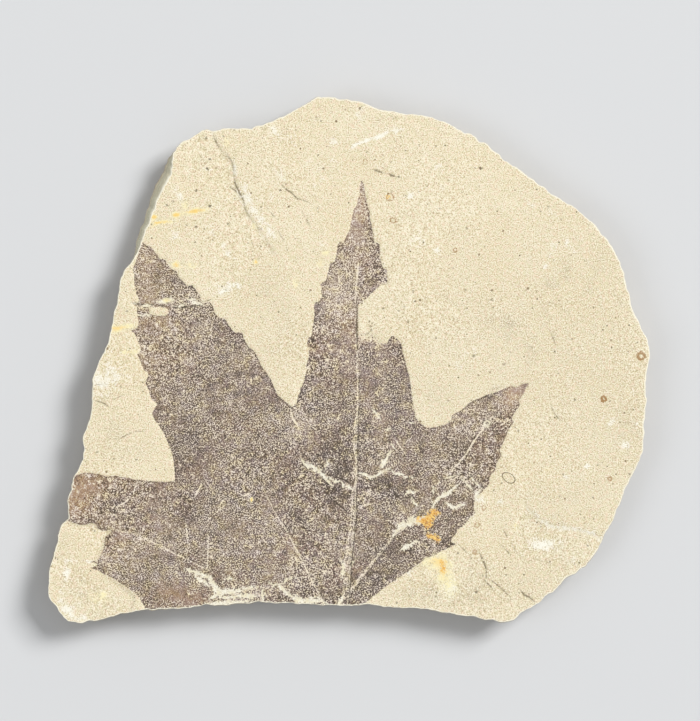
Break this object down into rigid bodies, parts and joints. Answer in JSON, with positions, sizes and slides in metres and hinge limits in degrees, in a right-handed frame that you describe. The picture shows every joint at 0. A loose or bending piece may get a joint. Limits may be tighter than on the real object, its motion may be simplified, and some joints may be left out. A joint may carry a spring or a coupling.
{
  "type": "fossil leaf plate",
  "caption": "Broken flat slab of pale laminated shale, lying face up, with the dark toothed print of a large lobed leaf running off its lower and left edges.",
  "frame": {"origin": "centre of the bounding box in X and Y, on the underside of the slab", "axes": "+Z out of the fossil face, +Y towards the tip of the leaf's middle lobe, +X to the right when looking down on the face"},
  "size_m": [0.22, 0.1926, 0.012],
  "materials": {
    "fossil_stone": "dry, chalky cream shale with a dark purplish-brown leaf film in its face"
  },
  "bodies": {
    "root": {"fossil_slab": "fossil_stone"}
  },
  "joints": []
}
